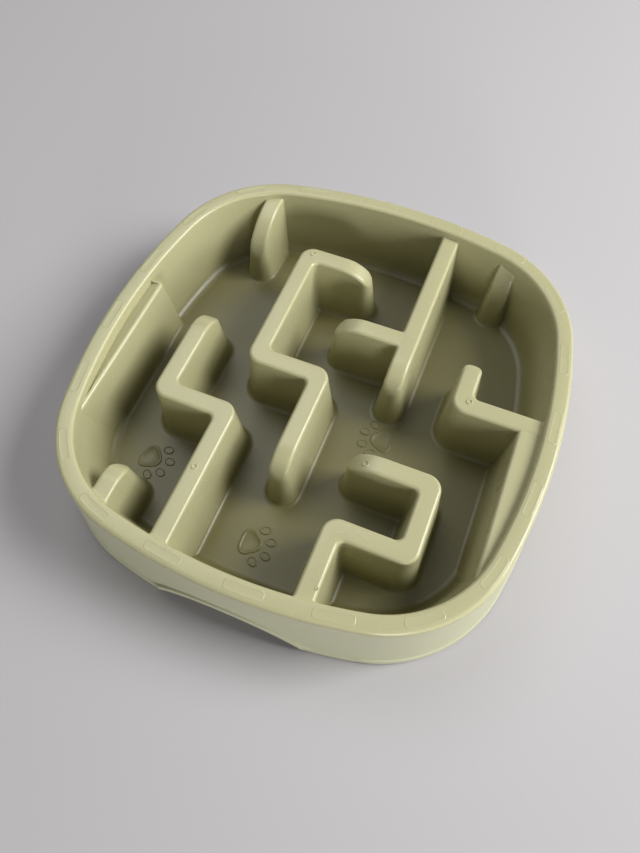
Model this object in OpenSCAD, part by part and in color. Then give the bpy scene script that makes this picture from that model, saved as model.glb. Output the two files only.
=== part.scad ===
// Slow feeder bowl: a square bowl with bowed sides and a maze of hollow ribs on its floor.
// X runs left to right, Y from front to back, Z up. The origin is under the middle of the
// bowl, on the surface that its feet stand on.

/* [Rim] */
// Width across the rim, side to side
rim_w = 250; // [230:1:280]
// Radius that each side of the rim bows to
side_r = 301.7; // [280:1:360]
// Radius of each corner of the rim
corner_r = 68; // [60:1:76]
// Height of the rim above the table
rim_z = 50; // [46:1:64]
// Width of the rim from its outer to its inner edge
rim_land = 9.5; // [8:0.5:12]
// Rounding of the rim's outer edge
outer_round = 2.5; // [2:0.5:3.5]
// Rounding of the rim's inner edge
inner_round = 2; // [1:0.5:3]

/* [Bowl] */
// Thickness of the moulding
wall_t = 2.5; // [2:0.1:3]
// Lean of the inner wall, in degrees
wall_lean = 8; // [5:1:11]
// Height of the food floor above the table
floor_z = 8; // [7.5:0.5:12]
// Fillet between the wall and the floor
floor_fillet = 6; // [4:0.5:8]

/* [Skirt] */
// How far the skirt spreads from the rim to its foot
skirt_flare = 5; // [3:0.5:8]
// Height of the bead along the skirt's foot
bead_h = 5; // [3:0.5:7]
// How far the bead stands out
bead_proud = 0.7; // [0.5:0.1:0.9]
// Gap between the skirt and the table
skirt_gap = 1; // [0.8:0.1:2]
// Height of the rim above its joint with the skirt
joint_drop = 4; // [3.6:0.1:6]

/* [Finger arches] */
// Width of each arch at its foot
arch_w = 83; // [60:1:100]
// Rise of each arch
arch_rise = 21; // [12:0.5:26]
// Width of the lip round each arch
lip_w = 4; // [3:0.5:6]
// How far the lip stands out
lip_proud = 1; // [1:0.1:1.5]

/* [Maze] */
// Distance from the rim's left and right edges to the outer rib lines
side_lane = 51.4; // [48:0.1:55]
// Distance from the rim's front and back edges to the outer rib lines
end_lane = 50.4; // [47:0.1:54]
// Middle of the maze from the middle of the bowl, left to right
maze_x = -0.8; // [-2:0.1:2]
// Middle of the maze from the middle of the bowl, front to back
maze_y = -2.1; // [-3:0.1:2]
// Width of a rib along its top
rib_w = 10; // [9:0.5:12]
// Depth of the rib tops below the rim
rib_drop = 4; // [3:0.5:8]
// Draft of the ribs' sides, in degrees
rib_draft = 5; // [3:0.5:6]
// Rounding of a rib's top edges
rib_round = 3; // [2:0.5:4]
// Radius of a rib's outer corners, seen from above
turn_r = 8; // [6.5:0.5:9]
// Radius of a rib's nose, seen from the side
nose_r = 20; // [14:1:24]
// Radius of the front left stub's nose
stub_nose_r = 15; // [12:1:18]
// Radius of the back left fin's slope
fin_nose_r = 34; // [28:1:36]
// Radius of the side rib's upturned end
hook_nose_r = 7; // [5:1:9]
// Gap between the left rib's nose and the back left fin's
left_gap = 51.4; // [42:0.1:60]
// Distance from the centre rib's back nose to the right rib's line
centre_back_gap = 32.6; // [26:0.1:38]
// Distance from the centre rib's front nose to the rim's front edge
centre_front_gap = 61.4; // [54:0.1:70]
// Distance from the right rib's nose to the maze's middle row
right_gap = 6.3; // [0:0.1:12]
// Distance from the branch's nose to the centre rib's line
branch_gap = 29.1; // [25:0.1:36]
// Distance from the front rib's nose to the centre rib's front line
front_gap = 28.8; // [22:0.1:36]
// Place of the side rib behind the maze's middle row
side_row = 11.2; // [8:0.1:14]
// Length of the side rib's upturned end
hook_arm = 27; // [20:0.5:32]
// Distance from the rim's left edge to the left ledge's face
left_ledge = 18; // [17:0.5:19]
// Distance from the rim's right edge to the right ledge's face
right_ledge = 21; // [18:0.5:23]
// Place of the left ledge's end behind the middle of the bowl
ledge_end = 22; // [14:0.5:30]
// Distance from the front left stub's nose to the rim's front edge
stub_reach = 43; // [37:0.5:47]
// Distance from the back left fin's nose to the rim's back edge
fin_reach = 55; // [45:0.5:59]
// Distance from the back right fin's lower end to the rim's back edge
short_fin_reach = 35; // [31:0.5:39]
// Depth of the back right fin's top below the rim
short_fin_drop = 5.5; // [5:0.5:12]

/* [Marks] */
// Height of the marks on the rim and the floor
mark_h = 0.4; // [0.2:0.1:0.8]
// Length of a dash on the rim
dash_l = 20; // [14:0.5:24]
// Width of a dash on the rim
dash_w = 4.6; // [3:0.1:5]
// Place of the first dash after the middle of each side, as a share of the dashes' spacing
dash_start_share = 0.25; // [0:0.05:0.95]
// Length of a paw print's pad
paw_pad = 11; // [8:0.5:14]
// Diameter of a paw print's toes
paw_toe = 4; // [3:0.5:5]

/* [Feet] */
// Diameter of a rubber foot
foot_d = 12; // [10:0.5:13]
// How far a foot stands out below its socket
foot_proud = 2; // [1.5:0.1:3]
// Gap round a foot in its socket
foot_clear = 0.2; // [0.1:0.05:0.4]
// Wall of a foot's socket
socket_wall = 2; // [1.5:0.1:2.2]
// Distance from the rim's left and right edges to a foot's middle
foot_side = 34; // [33:0.5:35]
// Distance from the rim's front and back edges to a foot's middle
foot_end = 57; // [55:0.5:61]

/* [Hidden] */
$fn = 64;
// Facets of the rim's long arcs, where they are drawn as facets.
arc_fn = 360;
// Reach of every cut past the surface it cuts.
overrun = 2;
// Least rounding inside a hollow rib.
core_round = 0.4;
// Floor between a rib's slot and the fillet round the floor.
slot_land = 1;
// Rounding of a foot's lower edge.
foot_round = 1;
// Reach of a ledge's hollow towards the corner in front of it, as a share of the ledge's.
hollow_share = 0.7;
// Step that a rib's section is rounded to, so that its bars and turns meet exactly.
fine_step = 0.001;

// The paw prints: the crossing that each lies at, and the way that its toes point.
paw_shares = [
    [-0.13, -2.34, 0],
    [1.08, -0.17, 190],
    [-2.08, -1.7, -14],
];

// The radius of a pad's front lobe, as a share of the pad's length.
pad_share = 0.4;
// Places of the inner and outer toes, as shares of the pad's length and a toe's diameter.
toe_shares = [[0.9, 0.65], [0.5, 2]];

half_w = rim_w / 2;
lane_x = (half_w - side_lane) / 2;
lane_y = (half_w - end_lane) / 2;
side_c = side_r - half_w;
corner_c = (sqrt(2 * pow(side_r - corner_r, 2) - pow(side_c, 2)) - side_c) / 2;
side_a = atan2(corner_c, corner_c + side_c);
joint_z = rim_z - joint_drop;
under_z = floor_z - wall_t;
rib_z = rim_z - rib_drop;

// The inner wall's line: its distance inside the rim's outer edge at a height.
wall_top = [
    inner_round - rim_land - inner_round * cos(wall_lean),
    rim_z - inner_round + inner_round * sin(wall_lean),
];
function wall_u(z) = wall_top[0] - (wall_top[1] - z) * tan(wall_lean);
fillet_z = floor_z + floor_fillet;
fillet_top_z = fillet_z - floor_fillet * sin(wall_lean);
fillet_u = wall_u(fillet_top_z) - floor_fillet * cos(wall_lean);
wall_across = wall_t / cos(wall_lean);

// Each joint between a side's arc and a corner's lies on a line from the corner's centre.
corner_mid = [corner_c, corner_c];
joint_far = corner_mid + 2 * corner_r * [cos(side_a), sin(side_a)];
function mirror_y(v) = [v[0], -v[1]];
function swap_xy(v) = [v[1], v[0]];

function snap(v) = round(v / fine_step) * fine_step;
// Moves to a corner's centre in whole fine steps and then by the rest, so that the corner's
// arc meets the side's arc exactly.
module at_corner(x, y) {
    whole = snap(corner_c);
    translate([x * whole, y * whole])
        translate([x * (corner_c - whole), y * (corner_c - whole)])
            children();
}
// Half the width of a rib at a height.
function rib_half(z) = snap(rib_w / 2 + (rib_z - z) * tan(rib_draft));
function heading(v) = atan2(v[1], v[0]);
// A crossing of the maze's grid, counted from its middle.
function crossing(i, j) = [maze_x + i * lane_x, maze_y + j * lane_y];

left_path = [
    [crossing(-1, 0)[0], -half_w],
    crossing(-1, -1),
    crossing(-2, -1),
    [crossing(-2, 0)[0], half_w - fin_reach - left_gap],
];
centre_path = [
    crossing(1, 2) - [centre_back_gap, 0],
    crossing(-1, 2),
    crossing(-1, 0),
    crossing(0, 0),
    [crossing(0, 0)[0], centre_front_gap - half_w],
];
right_path = [
    [crossing(1, 0)[0], half_w],
    crossing(1, 0) + [0, right_gap],
];
branch_path = [
    crossing(1, 1) + [rib_w / 8, 0],
    crossing(-1, 1) + [branch_gap, 0],
];
front_path = [
    [crossing(1, 0)[0], -half_w],
    crossing(1, -2),
    crossing(2, -2),
    crossing(2, -1),
    crossing(0, -1) + [front_gap, 0],
];
side_path = [
    [half_w, crossing(2, 0)[1] + side_row],
    crossing(2, 0) + [0, side_row],
    crossing(2, 0) + [0, side_row + hook_arm],
];
stub_path = [
    [crossing(-2, 0)[0], -half_w],
    [crossing(-2, 0)[0], stub_reach - half_w],
];
fin_path = [
    [crossing(-2, 0)[0], half_w],
    [crossing(-2, 0)[0], half_w - fin_reach],
];
short_fin_path = [
    [crossing(2, 0)[0], half_w],
    [crossing(2, 0)[0], half_w - short_fin_reach],
];

// A quarter disc that rounds the upper right corner of an outline.
module quarter(r) {
    intersection() {
        circle(r);
        square(r);
    }
}

module wedge(outline) {
    translate([0, 0, -overrun])
        linear_extrude(rim_z + 2 * overrun)
            polygon(outline);
}
// A profile carried round one side's arc, or round the corner after it. The profile's x is
// the distance outside the rim's edge and its y is the height.
module side_sweep() {
    intersection() {
        translate([-side_c, 0, 0])
            rotate_extrude($fn = arc_fn)
                translate([side_r, 0])
                    children();
        wedge([corner_mid, joint_far, mirror_y(joint_far), mirror_y(corner_mid)]);
    }
}
module corner_sweep() {
    intersection() {
        at_corner(1, 1)
            rotate_extrude($fn = arc_fn)
                translate([corner_r, 0])
                    children();
        wedge([corner_mid, joint_far, 2 * joint_far, swap_xy(joint_far)]);
    }
}
module round_sweep() {
    for (turn = [0 : 90 : 270])
        rotate(turn) {
            side_sweep() children();
            corner_sweep() children();
        }
}

// The rim, the inner wall, the fillet at its foot and the outer ring of the floor.
module bowl_profile() {
    ring_in = fillet_u - 2 * floor_fillet;
    difference() {
        union() {
            polygon([
                [0, joint_z],
                [0, rim_z - outer_round],
                [-outer_round, rim_z],
                [inner_round - rim_land, rim_z],
                wall_top,
                [wall_u(fillet_top_z), fillet_top_z],
                [fillet_u, floor_z],
                [ring_in, floor_z],
                [ring_in, under_z],
                [wall_u(under_z) + wall_across, under_z],
                [wall_u(rim_z - wall_t) + wall_across, rim_z - wall_t],
                [-wall_t, rim_z - wall_t],
                [-wall_t, joint_z],
            ]);
            translate([-outer_round, rim_z - outer_round])
                quarter(outer_round);
            translate([inner_round - rim_land, rim_z - inner_round])
                mirror([1, 0])
                    quarter(inner_round);
        }
        translate([fillet_u, fillet_z])
            circle(floor_fillet);
    }
}
module floor_plate() {
    reach = half_w + fillet_u - floor_fillet;
    nip = reach / 2;
    translate([0, 0, under_z])
        linear_extrude(wall_t)
            polygon([for (q = [0 : 3], e = [-1, 1]) [
                reach * cos(90 * q) - e * nip * sin(90 * q),
                reach * sin(90 * q) + e * nip * cos(90 * q),
            ]]);
}

// One rib's section, standing on the underside of the floor. The inset is the distance
// inside the rib's outer face: none for the rib itself, the wall for its hollow.
module rib_section(inset, shift) {
    r = max(rib_round - inset, core_round);
    top = rib_z - inset;
    flat = shift + snap(rib_half(top) - inset - r * (1 - sin(rib_draft)) / cos(rib_draft));
    side = [snap(r * cos(rib_draft)), snap(r * sin(rib_draft))];
    low = inset > 0 ? under_z - overrun : under_z;
    foot = shift + rib_half(floor_z) - inset;
    polygon([
        [0, low],
        [foot, low],
        [foot, floor_z],
        [flat + side[0], top - r + side[1]],
        [flat, top],
        [0, top],
    ]);
    translate([flat, top - r])
        quarter(r);
}
// The same for a ledge or a short fin, which stands on the floor.
module ledge_section(inset, shift) {
    intersection() {
        rib_section(inset, shift);
        translate([-overrun, inset > 0 ? 0 : floor_z])
            square([rim_w, rim_z]);
    }
}
module rib_bar(a, b, inset) {
    translate(a)
        rotate(heading(b - a))
            rotate([90, 0, 90])
                linear_extrude(norm(b - a)) {
                    rib_section(inset, 0);
                    mirror([1, 0])
                        rib_section(inset, 0);
                }
}
module rib_turn(at, d_in, d_out, inset) {
    shift = turn_r - rib_w / 2;
    start = cross(d_in, d_out) > 0 ? heading(d_in) - 90 : heading(d_in);
    translate(at + (d_out - d_in) * shift)
        rotate(start)
            rotate_extrude(angle = 90)
                rib_section(inset, shift);
}
module nose_post(tip, d, r, inset) {
    translate(tip - d * rib_half(rib_z - r))
        rotate_extrude()
            rib_section(inset, 0);
}
// What a nose's curve takes off a rib's end.
module nose_cut(tip, d, r, inset) {
    translate(tip)
        rotate(heading(d))
            rotate([90, 0, 0])
                linear_extrude(4 * rib_half(floor_z), center = true)
                    translate([-r, rib_z - r])
                        difference() {
                            square(r + overrun);
                            circle(r - inset);
                        }
}

// A rib along a path. Its last point is a nose of the given radius, and its first point is
// a nose too where first_r is given. Otherwise its first end runs on into what it meets.
module rib_run(path, first_r, last_r, inset) {
    n = len(path) - 1;
    difference() {
        union() {
            for (i = [0 : n - 1])
                rib_bar(bar_start(path, first_r, i), bar_end(path, last_r, i), inset);
            for (i = [1 : 1 : n - 1])
                rib_turn(path[i], way(path, i - 1), way(path, i), inset);
            nose_post(path[n], way(path, n - 1), last_r, inset);
            if (first_r > 0)
                nose_post(path[0], -way(path, 0), first_r, inset);
        }
        nose_cut(path[n], way(path, n - 1), last_r, inset);
        if (first_r > 0)
            nose_cut(path[0], -way(path, 0), first_r, inset);
    }
}
function way(path, i) = (path[i + 1] - path[i]) / norm(path[i + 1] - path[i]);
function back_off(r) = r > 0 ? rib_half(rib_z - r) : 0;
function bar_start(path, first_r, i) = path[i]
    + way(path, i) * (i == 0 ? back_off(first_r) : turn_r - rib_w / 2);
function bar_end(path, last_r, i) = path[i + 1]
    - way(path, i) * (i == len(path) - 2 ? back_off(last_r) : turn_r - rib_w / 2);

// Takes the hollow out of a straight rib.
module hollow_out(path, r) {
    difference() {
        children();
        difference() {
            rib_bar(bar_start(path, 0, 0), bar_end(path, r, 0), wall_t);
            nose_cut(path[1], way(path, 0), r, wall_t);
        }
        difference() {
            nose_post(path[1], way(path, 0), r, wall_t);
            nose_cut(path[1], way(path, 0), r, wall_t);
        }
    }
}

// The slot in the floor under a rib along a path.
module rib_slot(path, first_r, last_r) {
    w = rib_half(floor_z);
    n = len(path) - 1;
    for (i = [0 : n - 1]) {
        a = bar_start(path, first_r, i);
        translate(a)
            rotate(heading(way(path, i)))
                translate([0, -w])
                    square([norm(bar_end(path, last_r, i) - a), 2 * w]);
    }
    for (i = [1 : 1 : n - 1]) {
        d_in = way(path, i - 1);
        d_out = way(path, i);
        translate(path[i] + (d_out - d_in) * (turn_r - rib_w / 2))
            rotate(cross(d_in, d_out) > 0 ? heading(d_in) - 90 : heading(d_in))
                quarter(turn_r - rib_w / 2 + w);
    }
    translate(bar_end(path, last_r, n - 1))
        circle(w);
    if (first_r > 0)
        translate(bar_start(path, first_r, 0))
            circle(w);
}
module cut_slots() {
    slot_u = fillet_u - slot_land;
    translate([0, 0, under_z - overrun])
        linear_extrude(wall_t + 2 * overrun) {
            rib_slot(centre_path, nose_r, nose_r);
            rib_slot(branch_path, 0, nose_r);
            intersection() {
                union() {
                    rib_slot(left_path, 0, nose_r);
                    rib_slot(front_path, 0, nose_r);
                }
                translate([0, side_c])
                    circle(side_r + slot_u);
            }
            intersection() {
                rib_slot(right_path, 0, nose_r);
                translate([0, -side_c])
                    circle(side_r + slot_u);
            }
            intersection() {
                rib_slot(side_path, 0, hook_nose_r);
                translate([-side_c, 0])
                    circle(side_r + slot_u);
            }
            intersection() {
                rib_slot(stub_path, 0, stub_nose_r);
                at_corner(-1, -1)
                    circle(corner_r + slot_u);
            }
            intersection() {
                rib_slot(fin_path, 0, fin_nose_r);
                at_corner(-1, 1)
                    circle(corner_r + slot_u);
            }
        }
}

// The space inside the bowl beside one side's wall, or one corner's, down through the floor.
module inside(r) {
    low = under_z - overrun;
    slot_u = fillet_u - slot_land;
    rotate(180)
        rotate_extrude($fn = arc_fn) {
            polygon([
                [0, low],
                [r + slot_u, low],
                [r + slot_u, floor_z],
                [r + fillet_u, floor_z],
                [r + wall_u(fillet_top_z), fillet_top_z],
                [r + wall_top[0], wall_top[1]],
                [0, wall_top[1]],
            ]);
            translate([r + fillet_u, fillet_z])
                circle(floor_fillet);
        }
}
module inside_side(turn) {
    rotate(turn)
        translate([-side_c, 0])
            inside(side_r);
}
module inside_corner(turn) {
    rotate(turn)
        at_corner(1, 1)
            inside(corner_r);
}
// What lies outside the right wall's face and the fillet at its foot, from the floor up.
module outside_right() {
    r = side_r;
    translate([-side_c, 0])
        rotate(180)
            rotate_extrude($fn = arc_fn)
                difference() {
                    polygon([
                        [r + fillet_u, 0],
                        [r + fillet_u, floor_z],
                        [r + wall_u(fillet_top_z), fillet_top_z],
                        [r + wall_top[0], wall_top[1]],
                        [r + wall_top[0], rim_z],
                        [r + half_w, rim_z],
                        [r + half_w, 0],
                    ]);
                    translate([r + fillet_u, fillet_z])
                        circle(floor_fillet);
                }
}

// The short fin slopes straight from the wall to its foot.
module short_fin_form(inset) {
    foot = short_fin_path[1];
    top_z = rim_z - short_fin_drop;
    top_u = corner_r + wall_u(top_z);
    run = corner_c + sqrt(pow(top_u, 2) - pow(foot[0] - corner_c, 2)) - foot[1];
    slope = run / (top_z - floor_z);
    difference() {
        translate(foot - [0, overrun])
            rotate(90)
                rotate([90, 0, 90])
                    linear_extrude(half_w - foot[1]) {
                        ledge_section(inset, 0);
                        mirror([1, 0])
                            ledge_section(inset, 0);
                    }
        translate(foot - [2 * rib_w, 0])
            rotate([90, 0, 90])
                linear_extrude(4 * rib_w)
                    translate([inset, -inset])
                        polygon([
                            [-half_w, 0],
                            [-floor_z * slope, 0],
                            [run, top_z],
                            [half_w, top_z],
                            [half_w, 2 * rim_z],
                            [-half_w, 2 * rim_z],
                        ]);
    }
}
// A ledge fills the space between a straight face and the bowed wall of the right side.
module ledge_form(depth, from, to, inset) {
    translate([half_w, from, 0])
        rotate(90)
            rotate([90, 0, 90])
                linear_extrude(to - from)
                    ledge_section(inset, depth - rib_w / 2);
}

// Marks that stand up from the rim and from the floor.
side_run = side_a * PI / 180 * side_r;
corner_run = (90 - 2 * side_a) * PI / 180 * corner_r;
dashes_a_quarter = 5;
module dash(at) {
    on_corner = at > side_run && at < side_run + corner_run;
    r = on_corner ? corner_r : side_r;
    from_joint = on_corner ? at - side_run : at > side_run ? at - 2 * side_run - corner_run : at;
    angle = (from_joint / r + (on_corner ? side_a * PI / 180 : 0)) * 180 / PI;
    sweep = dash_l / r * 180 / PI;
    rotate(at > side_run + corner_run ? 90 : 0)
        translate(on_corner ? corner_mid : [-side_c, 0])
            rotate_extrude(angle = sweep, start = angle - sweep / 2)
                translate([r - (rim_land + dash_w) / 2, rim_z - mark_h])
                    square([dash_w, 2 * mark_h]);
}
module dashes() {
    pitch = (2 * side_run + corner_run) / dashes_a_quarter;
    for (turn = [0 : 90 : 270], k = [0 : dashes_a_quarter - 1])
        rotate(turn)
            dash(pitch * (k + dash_start_share));
}
module paw_print(place) {
    translate(crossing(place[0], place[1]))
        rotate(place[2])
            translate([0, 0, floor_z - mark_h])
                linear_extrude(2 * mark_h) {
                    circle(paw_pad * pad_share);
                    for (side = [-1, 1]) {
                        translate([-paw_pad / 4, side * paw_pad / 4])
                            circle(paw_pad / 4);
                        for (toe = toe_shares)
                            translate([paw_pad * toe[0], side * paw_toe * toe[1]])
                                circle(paw_toe / 2);
                    }
                }
}

// A socket under the floor for each foot, at a quarter of the bowl.
module at_foot(x, y) {
    translate([x * (half_w - foot_side), y * (half_w - foot_end), 0])
        children();
}
module socket() {
    bore = foot_d / 2 + foot_clear;
    rotate_extrude()
        polygon([
            [bore, foot_proud],
            [bore + socket_wall, foot_proud],
            [bore + socket_wall, under_z + wall_t / 2],
            [bore, under_z + wall_t / 2],
        ]);
}

module inner_bowl() {
    color("darkkhaki")
        difference() {
            union() {
                round_sweep() bowl_profile();
                floor_plate();
                for (x = [-1, 1], y = [-1, 1])
                    at_foot(x, y) socket();
                dashes();
                for (place = paw_shares)
                    paw_print(place);
            }
            cut_slots();
        }
}

// The skirt hangs from the rim, and spreads to a bead along its foot.
module skirt_profile() {
    slope = skirt_flare / (joint_z - skirt_gap);
    polygon([
        [-wall_t, joint_z],
        [0, joint_z],
        [skirt_flare - bead_h * slope, skirt_gap + bead_h],
        [skirt_flare - bead_h * slope + bead_proud, skirt_gap + bead_h],
        [skirt_flare + bead_proud, skirt_gap],
        [skirt_flare - wall_t, skirt_gap],
    ]);
}
module lip_profile() {
    polygon([
        [-wall_t / 2, joint_z],
        [lip_proud, joint_z],
        [skirt_flare + lip_proud, skirt_gap],
        [skirt_flare - wall_t / 2, skirt_gap],
    ]);
}
arch_r = (pow(arch_w / 2, 2) + pow(arch_rise, 2)) / (2 * arch_rise);
module arch_round(r) {
    translate([0, 0, skirt_gap + arch_rise - arch_r])
        rotate([90, 0, 0])
            cylinder(r = r, h = 2 * rim_w, center = true, $fn = 180);
}
module outer_skirt() {
    color("tan")
        difference() {
            union() {
                round_sweep() skirt_profile();
                intersection() {
                    union() {
                        rotate(90) side_sweep() lip_profile();
                        rotate(270) side_sweep() lip_profile();
                    }
                    arch_round(arch_r + lip_w);
                }
            }
            arch_round(arch_r);
        }
}

module rib_left() {
    color("khaki")
        difference() {
            intersection() {
                rib_run(left_path, 0, nose_r, 0);
                inside_side(270);
            }
            rib_run(left_path, 0, nose_r, wall_t);
        }
}
module rib_centre() {
    color("palegoldenrod")
        difference() {
            rib_run(centre_path, nose_r, nose_r, 0);
            rib_run(centre_path, nose_r, nose_r, wall_t);
        }
}
module rib_right() {
    color("khaki")
        hollow_out(right_path, nose_r)
            intersection() {
                rib_run(right_path, 0, nose_r, 0);
                inside_side(90);
            }
}
module rib_right_branch() {
    color("palegoldenrod")
        difference() {
            rib_run(branch_path, 0, nose_r, 0);
            rib_run(branch_path, 0, nose_r, wall_t);
            rib_run(right_path, 0, nose_r, 0);
        }
}
module rib_front() {
    color("palegoldenrod")
        difference() {
            intersection() {
                rib_run(front_path, 0, nose_r, 0);
                inside_side(270);
            }
            rib_run(front_path, 0, nose_r, wall_t);
        }
}
module rib_side() {
    color("khaki")
        difference() {
            intersection() {
                rib_run(side_path, 0, hook_nose_r, 0);
                inside_side(0);
            }
            rib_run(side_path, 0, hook_nose_r, wall_t);
        }
}
module ledge_left() {
    color("palegoldenrod")
        rotate(180)
            difference() {
                ledge_form(left_ledge, -ledge_end, half_w - corner_r, 0);
                outside_right();
                ledge_form(left_ledge, wall_t - ledge_end, (half_w - corner_r) * hollow_share, wall_t);
            }
}
module ledge_right() {
    // Its front end lies beside the corner, and its back end against the side rib.
    back = crossing(2, 0)[1] + side_row;
    bend = -corner_c - (corner_r - rim_land) * sin(side_a);
    color("palegoldenrod")
        difference() {
            ledge_form(right_ledge, bend, back, 0);
            outside_right();
            ledge_form(right_ledge, bend * hollow_share, back, wall_t);
            rib_run(side_path, 0, hook_nose_r, 0);
        }
}
module stub_front_left() {
    color("palegoldenrod")
        difference() {
            intersection() {
                rib_run(stub_path, 0, stub_nose_r, 0);
                inside_corner(180);
            }
            rib_run(stub_path, 0, stub_nose_r, wall_t);
        }
}
module fin_back_left() {
    color("palegoldenrod")
        difference() {
            intersection() {
                rib_run(fin_path, 0, fin_nose_r, 0);
                inside_corner(90);
            }
            rib_run(fin_path, 0, fin_nose_r, wall_t);
        }
}
module fin_back_right() {
    color("palegoldenrod")
        difference() {
            intersection() {
                short_fin_form(0);
                inside_corner(0);
            }
            short_fin_form(wall_t);
        }
}

module foot(x, y) {
    r = foot_d / 2;
    color("dimgray")
        at_foot(x, y)
            rotate_extrude() {
                polygon([
                    [0, 0],
                    [r - foot_round, 0],
                    [r, foot_round],
                    [r, under_z],
                    [0, under_z],
                ]);
                translate([r - foot_round, foot_round])
                    mirror([0, 1])
                        quarter(foot_round);
            }
}
module foot_front_left() { foot(-1, -1); }
module foot_front_right() { foot(1, -1); }
module foot_back_left() { foot(-1, 1); }
module foot_back_right() { foot(1, 1); }

inner_bowl();
outer_skirt();
rib_left();
rib_centre();
rib_right();
rib_right_branch();
rib_front();
rib_side();
ledge_left();
ledge_right();
stub_front_left();
fin_back_left();
fin_back_right();
foot_front_left();
foot_front_right();
foot_back_left();
foot_back_right();
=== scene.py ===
"""A slow feeder bowl: a square bowl with bowed sides and a maze of hollow ribs on its floor."""
import math

import bmesh
import bpy
from mathutils import Matrix, Vector


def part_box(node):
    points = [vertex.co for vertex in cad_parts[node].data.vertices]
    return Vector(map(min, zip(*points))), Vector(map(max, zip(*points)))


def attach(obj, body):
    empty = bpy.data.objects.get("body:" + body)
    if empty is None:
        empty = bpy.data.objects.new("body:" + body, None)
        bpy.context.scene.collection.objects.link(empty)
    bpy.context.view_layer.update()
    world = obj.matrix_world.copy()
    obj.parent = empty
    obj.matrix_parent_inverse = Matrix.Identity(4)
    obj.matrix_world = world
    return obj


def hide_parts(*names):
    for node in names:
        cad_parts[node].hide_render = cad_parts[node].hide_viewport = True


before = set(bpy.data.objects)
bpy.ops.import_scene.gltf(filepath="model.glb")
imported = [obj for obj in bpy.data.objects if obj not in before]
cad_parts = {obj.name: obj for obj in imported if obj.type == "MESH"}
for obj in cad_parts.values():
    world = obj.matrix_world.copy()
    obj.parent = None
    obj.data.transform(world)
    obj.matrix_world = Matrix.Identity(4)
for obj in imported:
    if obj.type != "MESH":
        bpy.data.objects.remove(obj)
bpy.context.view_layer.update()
mm = 0.001

# The inner bowl: the rim, the leaning wall and the food floor of one moulding, with a slot
# in the floor under each rib and four sockets below for the feet. Sage green glossy plastic,
# shot in one go with the skirt and the ribs.
half_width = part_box("inner_bowl")[1].x
rim_top = 50 * mm
joint_height = 46 * mm
rim_land = 9.5 * mm
outer_round = 2.2 * mm
inner_round = 2 * mm
under_round = 1 * mm
wall = 2.5 * mm
wall_lean = math.radians(8)
wall_middle = 20 * mm
wall_rows = 6
floor_top = 8 * mm
floor_under = floor_top - wall
floor_fillet = 6 * mm
floor_bevel = 1.5 * mm
skirt_flare = 5 * mm
skirt_gap = 1 * mm
skirt_slope = skirt_flare / (joint_height - skirt_gap)

side_r = 301.7 * mm
corner_r = 68 * mm
side_mid = side_r - half_width
corner_mid = (math.sqrt(2 * (side_r - corner_r) ** 2 - side_mid ** 2) - side_mid) / 2
side_angle = math.atan2(corner_mid, corner_mid + side_mid)
side_steps = 72
corner_steps = 32


def turned(point, quarter):
    """A point on the plan, turned about the middle of the bowl by quarters."""
    for _ in range(quarter % 4):
        point = Vector((-point.y, point.x))
    return point


def side_arc(quarter):
    """Middle and radius of the rim's arc on a side: 0 right, 1 back, 2 left, 3 front."""
    return turned(Vector((-side_mid, 0)), quarter), side_r


def corner_arc(quarter):
    """Middle and radius of the rim's arc at the corner that follows a side."""
    return turned(Vector((corner_mid, corner_mid)), quarter), corner_r


def rim_columns():
    """Middle, radius and angle of each place round the rim, from the right side's start."""
    columns = []
    for quarter in range(4):
        turn = quarter * math.pi / 2
        for k in range(side_steps):
            angle = side_angle * (2 * k / side_steps - 1)
            columns.append((*side_arc(quarter), turn + angle))
        for k in range(corner_steps):
            angle = side_angle + (math.pi / 2 - 2 * side_angle) * k / corner_steps
            columns.append((*corner_arc(quarter), turn + angle))
    return columns


def on_rim(column, out, height):
    """The point at a distance outside the rim's edge, at a place round the rim."""
    middle, radius, angle = column
    reach = radius + out
    return Vector((middle.x + reach * math.cos(angle), middle.y + reach * math.sin(angle), height))


def arc(middle, radius, start, end, steps):
    """Points on an arc between two angles in degrees."""
    angles = [math.radians(start + (end - start) * k / steps) for k in range(steps + 1)]
    return [(middle[0] + radius * math.cos(a), middle[1] + radius * math.sin(a)) for a in angles]


def add_sheet(bm, rows, closed=False):
    """Joins rows of points into quads, and gives back the rows of corners."""
    made = [[bm.verts.new(point) for point in row] for row in rows]
    count = len(made[0])
    for above, below in zip(made, made[1:]):
        for k in range(count if closed else count - 1):
            after = (k + 1) % count
            bm.faces.new((above[k], below[k], below[after], above[after]))
    return made


def fill_between(bm, loops):
    """Fills a flat face inside the first loop and outside the others."""
    edges = []
    for loop in loops:
        for k, corner in enumerate(loop):
            after = loop[(k + 1) % len(loop)]
            edges.append(bm.edges.get((corner, after)) or bm.edges.new((corner, after)))
    bmesh.ops.triangle_fill(bm, use_beauty=True, use_dissolve=False, edges=edges)


weld_distance = 0.002 * mm
sharp_angle = math.radians(38)


def finished(bm, name, material, slot, *nodes, turned_by_hand=False):
    """Turns a mesh into a smooth piece that stands for CAD nodes and rides on the bowl."""
    bmesh.ops.remove_doubles(bm, verts=bm.verts, dist=weld_distance)
    if not turned_by_hand:
        bmesh.ops.recalc_face_normals(bm, faces=bm.faces)
    mesh = bpy.data.meshes.new(name)
    bm.to_mesh(mesh)
    bm.free()
    mesh.shade_smooth()
    mesh.set_sharp_from_angle(angle=sharp_angle)
    mesh.materials.append(material)
    piece = bpy.data.objects.new(name, mesh)
    bpy.context.scene.collection.objects.link(piece)
    if nodes:
        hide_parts(*nodes)
    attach(piece, "root")


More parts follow.
